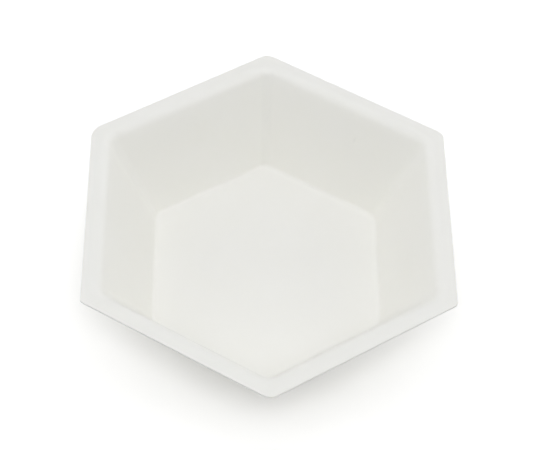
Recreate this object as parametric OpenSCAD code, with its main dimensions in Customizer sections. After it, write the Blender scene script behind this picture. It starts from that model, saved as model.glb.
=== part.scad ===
// Hexagonal weighing boat, formed from one plastic sheet and cut round its rim.
// Millimetres. The origin is under the middle of the floor, Z is up, and two corners lie along Y.

/* [Bowl] */
// Across the flats of the mouth, where the plane of a wall meets the plane of the flange
mouth_w = 72.4; // [66:0.2:84]
// Across the flats of the floor, where the plane of a wall meets the plane of the floor
floor_w = 51.4; // [36:0.2:60]
// Depth inside, from the top of the flange down to the floor
depth = 21.4; // [12:0.1:28]

/* [Sheet] */
// Thickness of the plastic sheet
sheet_t = 0.6; // [0.3:0.05:1.2]

/* [Bends] */
// Radius inside the angle between the floor and a wall
floor_bend_r = 1; // [0.4:0.1:2]
// Radius over the rim, between a wall and the flange
rim_bend_r = 3; // [1.4:0.1:4]
// Radius between two walls where they leave the floor
low_corner_r = 2.8; // [2:0.1:6]
// Radius between two walls where they reach the rim
high_corner_r = 3.4; // [2:0.1:8]

/* [Flange] */
// Width of the flat flange, from the mouth out to the cut edge
flange_w = 3.8; // [3:0.1:8]
// Corner radii of the cut edge, which the cutter leaves uneven: at the front corner
front_trim_r = 3; // [0.5:0.1:6]
// At the front right corner
front_right_trim_r = 1.2; // [0.5:0.1:6]
// At the back right corner
back_right_trim_r = 2.4; // [0.5:0.1:6]
// At the back corner
back_trim_r = 3; // [0.5:0.1:6]
// At the back left corner
back_left_trim_r = 4; // [0.5:0.1:6]
// At the front left corner
front_left_trim_r = 0.8; // [0.5:0.1:6]

/* [Hidden] */

sides = 6;
corner_turn = 360 / sides;         // one wall to the next, seen from above
first_corner = -90;                // the first corner points to the front, along -Y
half_corner = corner_turn / 2;

bend_steps = 7;                    // flat strips in each bend of the section
corner_steps = 8;                  // flat strips round each corner between two walls
spare_w = 4;                       // sheet left outside the cut edge, which the cut removes
trim_fn = 64;

flange_z = sheet_t + depth;        // top of the flange above the table
trim_flat = mouth_w / 2 + flange_w;   // half the width across the cut edge's flats
trim_rs = [
    front_trim_r, front_right_trim_r, back_right_trim_r,
    back_trim_r, back_left_trim_r, front_left_trim_r
];
wall_lean = atan2(depth, (mouth_w - floor_w) / 2);   // the wall against the floor

// Length along the floor or flange from a bend's tangent to the line where the planes meet.
function bend_reach(r) = r * tan(wall_lean / 2);

// The section is a list of [flat, z, turn, corner]: half the width across the flats, the height,
// how far the sheet has turned up from level, and the radius of the corners at that height.
// In each bend the corners' radius grows with the width, so the bend keeps its own radius there.
floor_bend = [
    for (i = [0 : bend_steps])
        let (turn = wall_lean * i / bend_steps)
        [
            floor_w / 2 - bend_reach(floor_bend_r) + floor_bend_r * sin(turn),
            sheet_t + floor_bend_r * (1 - cos(turn)),
            turn,
            low_corner_r - floor_bend_r * (sin(wall_lean) - sin(turn))
        ]
];
rim_bend = [
    for (i = [bend_steps : -1 : 0])
        let (turn = wall_lean * i / bend_steps)
        [
            mouth_w / 2 + bend_reach(rim_bend_r) - rim_bend_r * sin(turn),
            flange_z - rim_bend_r * (1 - cos(turn)),
            turn,
            high_corner_r + rim_bend_r * (sin(wall_lean) - sin(turn))
        ]
];
sheet_edge = [[
    trim_flat + spare_w,
    flange_z,
    0,
    high_corner_r
]];
section = concat(floor_bend, rim_bend, sheet_edge);

// One level hexagon with round corners, a distance below the section's upper face.
function ring(at, below) =
    let (
        flat = at[0] + below * sin(at[2]),
        z = at[1] - below * cos(at[2]),
        corner = at[3] + below * sin(at[2]),
        middle = (flat - corner) / cos(half_corner)
    )
    [
        for (side = [0 : sides - 1], i = [0 : corner_steps])
            let (
                aim = first_corner + side * corner_turn,
                a = aim - half_corner + corner_turn * i / corner_steps
            )
            [middle * cos(aim) + corner * cos(a), middle * sin(aim) + corner * sin(a), z]
    ];

// A closed skin through the rings, out along the upper face and back along the lower one.
module formed_sheet() {
    last = len(section) - 1;
    rings = concat(
        [for (i = [0 : last]) ring(section[i], 0)],
        [for (i = [last : -1 : 0]) ring(section[i], sheet_t)]
    );
    n = sides * (corner_steps + 1);
    ends = len(rings) - 1;
    polyhedron(
        points = [for (r = rings, p = r) p],
        faces = concat(
            [[for (j = [n - 1 : -1 : 0]) j]],
            [
                for (i = [0 : ends - 1], j = [0 : n - 1])
                    let (k = (j + 1) % n)
                    [i * n + j, i * n + k, (i + 1) * n + k, (i + 1) * n + j]
            ],
            [[for (j = [0 : n - 1]) ends * n + j]]
        )
    );
}

// The cut line of the rim: straight sides that run into true arcs.
module trim_outline() {
    middles = [for (r = trim_rs) (trim_flat - r) / cos(half_corner)];
    polygon([
        for (corner = [0 : sides - 1], end = [-1, 1])
            let (
                aim = first_corner + corner * corner_turn,
                a = aim + end * half_corner,
                r = trim_rs[corner]
            )
            [middles[corner] * cos(aim) + r * cos(a), middles[corner] * sin(aim) + r * sin(a)]
    ]);
    for (corner = [0 : sides - 1])
        rotate(first_corner + corner * corner_turn)
            translate([middles[corner], 0])
                circle(r = trim_rs[corner], $fn = trim_fn);
}

module weighing_boat() {
    color("#f1f1ee")
        intersection() {
            formed_sheet();
            translate([0, 0, -1])
                linear_extrude(height = flange_z + 2)
                    trim_outline();
        }
}

weighing_boat();
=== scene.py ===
import bpy
import math
import numpy as np
from mathutils import Matrix, Vector


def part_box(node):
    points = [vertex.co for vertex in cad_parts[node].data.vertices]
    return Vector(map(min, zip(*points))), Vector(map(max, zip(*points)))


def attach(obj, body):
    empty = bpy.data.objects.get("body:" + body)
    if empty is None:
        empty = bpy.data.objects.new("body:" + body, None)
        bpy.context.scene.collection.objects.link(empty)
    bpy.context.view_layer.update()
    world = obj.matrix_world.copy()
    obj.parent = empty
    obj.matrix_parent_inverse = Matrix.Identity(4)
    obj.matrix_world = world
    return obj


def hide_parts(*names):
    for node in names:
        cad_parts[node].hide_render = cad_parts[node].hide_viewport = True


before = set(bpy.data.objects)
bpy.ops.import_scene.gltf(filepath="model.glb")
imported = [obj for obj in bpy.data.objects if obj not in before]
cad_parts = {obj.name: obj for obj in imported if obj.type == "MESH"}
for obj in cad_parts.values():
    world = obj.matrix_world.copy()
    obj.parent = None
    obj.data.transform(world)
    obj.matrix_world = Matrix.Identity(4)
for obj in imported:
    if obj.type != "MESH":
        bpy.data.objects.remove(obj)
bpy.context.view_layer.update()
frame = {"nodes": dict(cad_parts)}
mm = 0.001
print("frame loaded:", ", ".join(frame["nodes"]))


def linear(hexColor):
    # sRGB hex to linear, with a full alpha: a straight part near black, then a power curve
    values = [int(hexColor[i:i + 2], 16) / 255 for i in (1, 3, 5)]
    return (*(v / 12.92 if v <= 0.04045 else ((v + 0.055) / 1.055) ** 2.4 for v in values), 1)


def addNode(tree, kind, settings=None, links=None):
    # settings: an attribute, or a socket by name or number, to its value
    # links: a socket by name or number, to the socket that feeds it
    node = tree.nodes.new(kind)
    for name, value in (settings or {}).items():
        if isinstance(name, int) or name in node.inputs:
            node.inputs[name].default_value = value
        else:
            setattr(node, name, value)
    for name, source in (links or {}).items():
        tree.links.new(source, node.inputs[name])
    return node


# A Mix node has sockets of the same names for each kind of value, so these go by number.
mixValue = {"a": 2, "b": 3, "result": 0}
mixColor = {"a": 6, "b": 7, "result": 2}
white = linear("#ffffff")


def newMaterial(name):
    material = bpy.data.materials.new(name)
    material.use_nodes = True
    material.node_tree.nodes.clear()
    return material, material.node_tree


# The boat: lengths in mm, the same as in the CAD model.
boat = {
    "sides": 6,
    "firstCorner": -90,         # degrees, a corner points to the front
    "mouthW": 72.4,             # across the flats, where the wall's plane meets the flange's
    "floorW": 51.4,             # across the flats, where it meets the floor's
    "sheetT": 0.6,
    "floorBendR": 1.0,
    "rimBendR": 3.0,
    "lowCornerR": 2.8,          # the wall's corner radius where it leaves the floor's bend
    "highCornerR": 3.4,         # and where it enters the rim's
    "trimRs": (3.0, 1.2, 2.4, 3.0, 4.0, 0.8),   # the cut edge's corners, from the front one round
    "edgeR": 0.2,               # the cut edge is a little rounded
    "edgeInset": 0.01,          # and stands this far inside the CAD model's
    "wallBow": 0.10,            # the walls sink inwards as the sheet cools
    "floorCrown": 0.12,         # and the floor rises in its middle
    "floorRows": 14,            # from here on, the mesh: rows from the middle out
    "bendRows": 12,
    "wallRows": 18,
    "flangeRows": 10,
    "edgeRows": 4,
    "cornerColumns": 16,        # and columns round the hexagon
    "sideColumns": 28,
}
boatLow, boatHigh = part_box("weighing_boat")
boat["rimW"] = (boatHigh[0] - boatLow[0]) / mm
boat["flangeZ"] = boatHigh[2] / mm

# The boat's section is an array with a row for each ring of the mesh and these columns: flat
# (half the width across the flats), z, turn (the slope) and corner (the corner's radius).
atFlat, atZ, atTurn, atCorner = range(4)


def eased(count):
    # 0 to 1 in count steps that are closer together at both ends: half a turn of a cosine
    return (1 - np.cos(np.linspace(0, math.pi, count + 1))) / 2


def bendRows(width, level, radius, cornerR, lean):
    # An arc from a level face into the wall. The planes of the two meet at half the width, and the
    # arc starts radius times the tangent of half the lean before that. It then goes out by the
    # sine of the turn and up by 1 less its cosine, times radius. A negative radius turns all three
    # round, for the rim.
    turn = np.linspace(0, 1, boat["bendRows"] + 1) * lean
    return np.stack([
        width / 2 - radius * (math.tan(lean / 2) - np.sin(turn)),
        level + radius * (1 - np.cos(turn)),
        turn,
        cornerR - radius * (math.sin(lean) - np.sin(turn)),
    ], axis=1)


def straightRows(start, end, count):
    # the rows on the straight line between two rows of the section, both ends left out
    return start + (end - start) * eased(count)[1:-1, None]


def boatSection():
    # The upper face from the middle of the floor out to the cut edge, and three more columns for
    # it: sag (half a sine wave down the wall), crown (the square of 1 less the square of the way
    # out over the floor) and cut (0 to 1 across the flange, the share of the cut edge's radii).
    depth = boat["flangeZ"] - boat["sheetT"]
    lean = math.atan2(depth, (boat["mouthW"] - boat["floorW"]) / 2)
    floorBend = bendRows(boat["floorW"], boat["sheetT"], boat["floorBendR"],
                         boat["lowCornerR"], lean)
    rimBend = bendRows(boat["mouthW"], boat["flangeZ"], -boat["rimBendR"],
                       boat["highCornerR"], lean)[::-1]
    middle = np.array([0.0, boat["sheetT"], 0.0, 0.0])
    edgeFlat = boat["rimW"] / 2 - boat["edgeInset"] - boat["edgeR"]
    edge = np.array([edgeFlat, boat["flangeZ"], 0.0, -boat["edgeR"]])
    floor = straightRows(middle, floorBend[0], boat["floorRows"])
    wall = straightRows(floorBend[-1], rimBend[0], boat["wallRows"])
    flange = straightRows(rimBend[-1], edge, boat["flangeRows"])
    rows = np.concatenate([floor, floorBend, wall, rimBend, flange, edge[None]])

    sag, crown, cut = np.zeros((3, len(rows)))
    wallStart = len(floor) + len(floorBend)
    sag[wallStart:wallStart + len(wall)] = np.sin(math.pi * eased(boat["wallRows"])[1:-1])
    crown[:len(floor)] = (1 - (floor[:, atFlat] / floorBend[0, atFlat]) ** 2) ** 2
    cut[-len(flange) - 1:] = eased(boat["flangeRows"])[1:]
    return rows, sag, crown, cut


def roundHexagon():
    # The columns round the hexagon. A ring is its corners' centres, joined by straight runs, and
    # each column's own radius along turnWay: round a corner the centre stays and turnWay turns,
    # and along a side turnWay stays while the shares here and there hand over to the next corner.
    step = 2 * math.pi / boat["sides"]
    aims = math.radians(boat["firstCorner"]) + step * np.arange(boat["sides"])
    arc = np.linspace(-0.5, 0.5, boat["cornerColumns"] + 1) * step
    run = np.linspace(0, 1, boat["sideColumns"] + 1)[1:-1]
    columns = len(arc) + len(run)
    aim = np.repeat(aims, columns)
    turn = np.tile(np.concatenate([arc, np.full(len(run), step / 2)]), boat["sides"])
    part = np.tile(np.concatenate([np.zeros(len(arc)), run]), boat["sides"])
    here = np.stack([np.cos(aim), np.sin(aim)], axis=1) * (1 - part)[:, None]
    there = np.stack([np.cos(aim + step), np.sin(aim + step)], axis=1) * part[:, None]
    turnWay = np.stack([np.cos(aim + turn), np.sin(aim + turn)], axis=1)
    trimHere = np.repeat(boat["trimRs"], columns)
    trimThere = np.repeat(np.roll(boat["trimRs"], -1), columns)
    return here, there, turnWay, trimHere, trimThere, part


def boatSurface():
    # The boat's skin as one grid: rows run from the middle of the floor out to the cut edge and
    # back along the underside, and columns run round the hexagon. The cut edge is two quarter
    # rounds, and the underside is the upper face moved along its normal by the sheet's thickness.
    # A corner's centre is flat less its radius out, over flatShare. A point of the plan is the
    # centres by their shares, and then the radius along turnWay.
    top, sag, crown, cut = boatSection()
    thick, edgeR = boat["sheetT"], boat["edgeR"]
    quarter = np.linspace(0, math.pi / 2, boat["edgeRows"] + 1)[1:]
    edgeTop = np.repeat(top[-1:], len(quarter), axis=0)
    edgeTop[:, [atFlat, atCorner]] += edgeR * np.sin(quarter)[:, None]
    edgeTop[:, atZ] -= edgeR * (1 - np.cos(quarter))
    edgeLow = edgeTop[::-1].copy()
    edgeLow[:, atZ] = 2 * boat["flangeZ"] - thick - edgeLow[:, atZ]
    under = top[::-1].copy()
    under[:, [atFlat, atCorner]] += thick * np.sin(under[:, [atTurn]])
    under[:, atZ] -= thick * np.cos(under[:, atTurn])
    flat, z, turn, corner = np.concatenate([top, edgeTop, edgeLow, under]).T[:, :, None]
    sag, crown, cut = (
        np.concatenate([share, np.full(2 * len(quarter), share[-1]), share[::-1]])[:, None]
        for share in (sag, crown, cut))

    here, there, turnWay, trimHere, trimThere, part = roundHexagon()
    rHere, rThere = corner + cut * trimHere, corner + cut * trimThere
    flatShare = math.cos(math.pi / boat["sides"])   # across the flats over across the corners
    plan = (((flat - rHere) / flatShare)[..., None] * here
            + ((flat - rThere) / flatShare)[..., None] * there
            + (rHere + (rThere - rHere) * part)[..., None] * turnWay)
    bulge = np.sin(math.pi * part) ** 2     # 1 in the middle of a side, 0 round the corners
    inward = boat["wallBow"] * sag * bulge
    plan = plan - (inward * np.sin(turn))[..., None] * turnWay
    height = z + inward * np.cos(turn) + boat["floorCrown"] * crown
    return np.concatenate([plan, height[..., None]], axis=2) * mm


def skinMesh(name, grid):
    # A closed skin: quads between the rows of the grid and all round its columns, and at each end
    # a fan of triangles to the middle of the last row.
    rows, columns = grid.shape[:2]
    ends = np.stack([grid[0].mean(axis=0), grid[-1].mean(axis=0)])
    points = np.concatenate([grid.reshape(-1, 3), ends])
    here = np.arange(columns)
    following = np.roll(here, -1)
    down = np.arange(rows - 1)[:, None] * columns
    quads = np.stack([down + here, down + columns + here,
                      down + columns + following, down + following], axis=-1).reshape(-1, 4)
    firstEnd = np.full(columns, rows * columns)
    lastRow = (rows - 1) * columns
    fans = np.concatenate([
        np.stack([firstEnd, here, following], axis=1),
        np.stack([firstEnd + 1, lastRow + following, lastRow + here], axis=1),
    ])
    mesh = bpy.data.meshes.new(name)
    mesh.from_pydata(points.tolist(), [], quads.tolist() + fans.tolist())
    mesh.shade_smooth()
    mesh.update()
    piece = bpy.data.objects.new(name, mesh)
    bpy.context.scene.collection.objects.link(piece)
    return piece


# Impact polystyrene sheet, drawn hot into a matt mould: a soft satin white, faintly warm, with a
# fine pebble that the mould leaves and very faint lines along the sheet from its extrusion.
formedSheet = {
    "color": "#faf9f3",
    "colorDeep": "#f8f7f1",
    "mottle": 9.0,              # mm across one cloud of colour
    "speckColor": "#f3f2ed",    # one faint speck in the back right wall
    "speckPlace": (20.29, 26.19, 15.13),    # mm
    "speckSize": (0.9, 0.45, 1.1),          # mm from its middle, outwards, across and up
    "speckTurn": 60,            # degrees, the way that the wall faces
    "roughness": 0.46,
    "roughnessSpread": 0.06,
    "pebble": 0.45,             # mm across one grain, coarser than the real one so that it shows
    "pebbleDepth": 0.004,       # mm
    "lineGap": 0.8,             # mm between the extrusion lines
    "lineStretch": 50,          # how much longer than their gap they run, front to back
    "lineDepth": 0.002,         # mm
    "ior": 1.59,                # polystyrene
    "subsurface": 1.0,          # light goes a little way into the white plastic
    "subsurfaceMm": 0.4,
}


def sheetColor(tree, place, clouds):
    # Two whites mixed by the clouds, and over them the speck: an ellipsoid whose share falls
    # evenly from 1 in its middle to 0 at its skin.
    look = formedSheet
    ground = addNode(tree, "ShaderNodeMix", {
        "data_type": "RGBA",
        mixColor["a"]: linear(look["colorDeep"]),
        mixColor["b"]: linear(look["color"])}, {"Factor": clouds})
    apart = addNode(tree, "ShaderNodeMapping", {
        "vector_type": "TEXTURE",
        "Location": [v * mm for v in look["speckPlace"]],
        "Rotation": (0, 0, math.radians(look["speckTurn"])),
        "Scale": [v * mm for v in look["speckSize"]]}, {"Vector": place})
    reach = addNode(tree, "ShaderNodeVectorMath", {"operation": "LENGTH"},
                    {"Vector": apart.outputs["Vector"]})
    share = addNode(tree, "ShaderNodeMapRange", {"To Min": 1.0, "To Max": 0.0},
                    {"Value": reach.outputs["Value"]})
    speckled = addNode(tree, "ShaderNodeMix", {
        "data_type": "RGBA", mixColor["b"]: linear(look["speckColor"])},
        {"Factor": share.outputs["Result"], mixColor["a"]: ground.outputs[mixColor["result"]]})
    return speckled.outputs[mixColor["result"]]


def sheetBump(tree, place):
    # The pebble's noise over the lines' noise, which is stretched along the sheet.
    look = formedSheet
    along = addNode(tree, "ShaderNodeMapping", {"Scale": (1, 1 / look["lineStretch"], 0)},
                    {"Vector": place})
    lines = addNode(tree, "ShaderNodeTexNoise",
                    {"Scale": 1 / (look["lineGap"] * mm), "Detail": 1.0, "Roughness": 0.5},
                    {"Vector": along.outputs["Vector"]})
    lineBump = addNode(tree, "ShaderNodeBump",
                       {"Strength": 1.0, "Distance": look["lineDepth"] * mm},
                       {"Height": lines.outputs["Fac"]})
    pebble = addNode(tree, "ShaderNodeTexNoise",
                     {"Scale": 1 / (look["pebble"] * mm), "Detail": 2.0, "Roughness": 0.55},
                     {"Vector": place})
    bump = addNode(tree, "ShaderNodeBump",
                   {"Strength": 1.0, "Distance": look["pebbleDepth"] * mm},
                   {"Height": pebble.outputs["Fac"], "Normal": lineBump.outputs["Normal"]})
    return bump.outputs["Normal"]


def formedSheetMaterial():
    # The clouds drive both the colour and the roughness, so that they shift together.
    look = formedSheet
    material, tree = newMaterial("formedPolystyreneSheet")
    place = addNode(tree, "ShaderNodeTexCoord").outputs["Object"]
    clouds = addNode(tree, "ShaderNodeTexNoise",
                     {"Scale": 1 / (look["mottle"] * mm), "Detail": 3.0, "Roughness": 0.5},
                     {"Vector": place}).outputs["Fac"]
    rough = addNode(tree, "ShaderNodeMapRange", {
        "To Min": look["roughness"] - look["roughnessSpread"],
        "To Max": look["roughness"] + look["roughnessSpread"]}, {"Value": clouds})
    shader = addNode(tree, "ShaderNodeBsdfPrincipled", {
        "IOR": look["ior"],
        "Subsurface Weight": look["subsurface"],
        "Subsurface Radius": (1, 1, 1),
        "Subsurface Scale": look["subsurfaceMm"] * mm},
        {"Base Color": sheetColor(tree, place, clouds), "Roughness": rough.outputs["Result"],
         "Normal": sheetBump(tree, place)})
    addNode(tree, "ShaderNodeOutputMaterial", links={"Surface": shader.outputs["BSDF"]})
    return material


boatPiece = skinMesh("formedBoat", boatSurface())
boatPiece.data.materials.append(formedSheetMaterial())
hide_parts("weighing_boat")
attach(boatPiece, "root")
print("boat made:", len(boatPiece.data.polygons), "faces")

# Uncoated white card under the boat: dull, without a gloss. It keeps the boat's shadow. Away from
# the boat the eye sees it turn to plain white, so that the shadow ends and no horizon shows. This
# white begins within the shadow's reach, so the outer end of the shadow is painted lighter.
card = {
    "size": 6000,               # mm
    "drop": 0.05,               # mm below the boat, so that the two faces stay apart
    "fadeFrom": 35,             # mm from the middle of the boat; from here painted white lightens the shadow's outer end
    "fadeTo": 80,
    "plain": 1.15,              # the strength of the plain white, over 1 so that it is even
    "color": "#cacaca",         # for the light that it throws back onto the boat
    "shown": (1.335, 1.335, 1.327, 1),  # for the eye, linear
}


def lookedAt(tree):
    # 1 for a ray from the camera, off a gloss or through something clear, and 0 for plain light
    rays = addNode(tree, "ShaderNodeLightPath").outputs
    share = rays["Is Camera Ray"]
    for kind in ("Is Glossy Ray", "Is Transmission Ray"):
        share = addNode(tree, "ShaderNodeMath", {"operation": "MAXIMUM"},
                        {0: share, 1: rays[kind]}).outputs["Value"]
    return share


def cardMaterial():
    # Dull paper in the shown colour where it is looked at and in its own for plain light. Where it
    # is looked at, plain white takes over evenly with the distance from the middle of the boat:
    # painted light, which lightens the outer end of the boat's shadow.
    material, tree = newMaterial("whiteCard")
    looked = lookedAt(tree)
    color = addNode(tree, "ShaderNodeMix", {
        "data_type": "RGBA",
        mixColor["a"]: linear(card["color"]),
        mixColor["b"]: card["shown"]}, {"Factor": looked})
    paper = addNode(tree, "ShaderNodeBsdfDiffuse",
                    links={"Color": color.outputs[mixColor["result"]]})
    place = addNode(tree, "ShaderNodeTexCoord").outputs["Object"]
    away = addNode(tree, "ShaderNodeVectorMath", {"operation": "LENGTH"}, {"Vector": place})
    # painted light: the plain white's share rises from fadeFrom to fadeTo, painting the shadow's
    # outer end lighter
    paintedWhiteShare = addNode(tree, "ShaderNodeMapRange",
                  {"From Min": card["fadeFrom"] * mm, "From Max": card["fadeTo"] * mm},
                  {"Value": away.outputs["Value"]})
    share = addNode(tree, "ShaderNodeMath", {"operation": "MULTIPLY"},
                    {0: looked, 1: paintedWhiteShare.outputs["Result"]})
    plain = addNode(tree, "ShaderNodeEmission", {"Color": white, "Strength": card["plain"]})
    both = addNode(tree, "ShaderNodeMixShader", links={
        "Fac": share.outputs["Value"], 1: paper.outputs["BSDF"], 2: plain.outputs["Emission"]})
    addNode(tree, "ShaderNodeOutputMaterial", links={"Surface": both.outputs["Shader"]})
    return material


def addCard():
    # a level square round the boat, a little below it
    half = card["size"] * mm / 2
    corners = ((-half, -half), (half, -half), (half, half), (-half, half))
    mesh = bpy.data.meshes.new("card")
    mesh.from_pydata([(x, y, -card["drop"] * mm) for x, y in corners], [], [(0, 1, 2, 3)])
    mesh.materials.append(cardMaterial())
    piece = bpy.data.objects.new("card", mesh)
    bpy.context.scene.collection.objects.link(piece)
    return piece


addCard()
print("card laid")

# Soft round lamps about the boat, all as far away: turn and rise in degrees, size in metres and
# power in watts. Turn runs clockwise from the back, seen from above.
lampDistance = 1.4              # metres
lamps = {
    "top": {"turn": 0, "rise": 85, "size": 1.8, "power": 7.11},
    "backLeft": {"turn": 315, "rise": 38, "size": 0.7, "power": 1.31},
    "backRight": {"turn": 45, "rise": 38, "size": 0.7, "power": 1.31},
    "backLeftLow": {"turn": 315, "rise": 16, "size": 0.7, "power": 1.62},
    "backRightLow": {"turn": 45, "rise": 16, "size": 0.7, "power": 1.62},
    "left": {"turn": 270, "rise": 38, "size": 0.7, "power": 2.27},
    "right": {"turn": 90, "rise": 38, "size": 0.7, "power": 2.41},
    "frontLeft": {"turn": 225, "rise": 38, "size": 0.7, "power": 0.84},
    "frontRight": {"turn": 135, "rise": 38, "size": 0.7, "power": 0.84},
    "front": {"turn": 180, "rise": 62, "size": 0.7, "power": 4.11},
}
# The pale room, which lights the boat from low down.
room = {
    "strength": 0.89,           # at the height of the table
    "fadeRise": 30,             # degrees above the table where its light has faded to nothing
}


def addLamp(name, lamp):
    # a soft disc that faces the middle of the boat from its turn and rise
    data = bpy.data.lights.new(name, "AREA")
    data.shape = "DISK"
    data.size = lamp["size"]
    data.energy = lamp["power"]
    turn, rise = math.radians(lamp["turn"]), math.radians(lamp["rise"])
    way = Vector((math.sin(turn) * math.cos(rise), math.cos(turn) * math.cos(rise), math.sin(rise)))
    light = bpy.data.objects.new(name, data)
    light.location = way * lampDistance
    light.rotation_euler = (-way).to_track_quat("-Z", "Y").to_euler()
    light.visible_camera = False
    bpy.context.scene.collection.objects.link(light)


def roomLight():
    # White all round. For plain light its strength falls evenly with the sine of the rise, down to
    # nothing, and for what looks straight at it the strength is 1.
    world = bpy.data.worlds.new("room")
    bpy.context.scene.world = world
    world.use_nodes = True
    tree = world.node_tree
    tree.nodes.clear()
    way = addNode(tree, "ShaderNodeTexCoord").outputs["Generated"]
    height = addNode(tree, "ShaderNodeSeparateXYZ", links={"Vector": way}).outputs["Z"]
    light = addNode(tree, "ShaderNodeMapRange", {
        "From Max": math.sin(math.radians(room["fadeRise"])),
        "To Min": room["strength"], "To Max": 0.0}, {"Value": height})
    level = addNode(tree, "ShaderNodeMix", {mixValue["b"]: 1.0},
                    {"Factor": lookedAt(tree), mixValue["a"]: light.outputs["Result"]})
    background = addNode(tree, "ShaderNodeBackground", {"Color": white},
                         {"Strength": level.outputs[mixValue["result"]]})
    addNode(tree, "ShaderNodeOutputWorld", links={"Surface": background.outputs["Background"]})


for lampName, lampFacts in lamps.items():
    addLamp(lampName, lampFacts)
roomLight()
print("lamps and room made")

# The camera looks down over the front corner, turned a little to one side and rolled a little.
view = {
    "azimuth": -2.89,           # degrees
    "elevation": 54.96,
    "roll": -2.99,
    "distance": 360.1,          # mm from the middle of the rim
    "sideways": -0.25,          # mm that the rim's middle lies right of the picture's
    "upwards": 2.45,            # and above it
    "lens": 109.5,              # mm
    "nearest": 10,              # mm at which things begin to show
    "farthest": 50000,          # and stop
}


def addCamera():
    # Back points from the rim to the camera, by azimuth and elevation. Right and up are the
    # picture's own ways: level and square to back, then turned by the roll.
    azimuth, elevation, roll = (math.radians(view[k]) for k in ("azimuth", "elevation", "roll"))
    back = Vector((math.sin(azimuth) * math.cos(elevation),
                   -math.cos(azimuth) * math.cos(elevation), math.sin(elevation)))
    levelRight = Vector((math.cos(azimuth), math.sin(azimuth), 0))
    levelUp = back.cross(levelRight)
    right = levelRight * math.cos(roll) - levelUp * math.sin(roll)
    up = levelRight * math.sin(roll) + levelUp * math.cos(roll)
    rim = Vector((0, 0, boat["flangeZ"] * mm))
    place = rim + (back * view["distance"] - right * view["sideways"] - up * view["upwards"]) * mm
    data = bpy.data.cameras.new("camera")
    data.lens = view["lens"]
    data.clip_start = view["nearest"] * mm
    data.clip_end = view["farthest"] * mm
    camera = bpy.data.objects.new("camera", data)
    turned = Matrix((right, up, back)).transposed().to_4x4()
    camera.matrix_world = Matrix.Translation(place) @ turned
    bpy.context.scene.collection.objects.link(camera)
    bpy.context.scene.camera = camera


addCamera()
bpy.context.scene.view_settings.view_transform = "Standard"
print("camera placed")
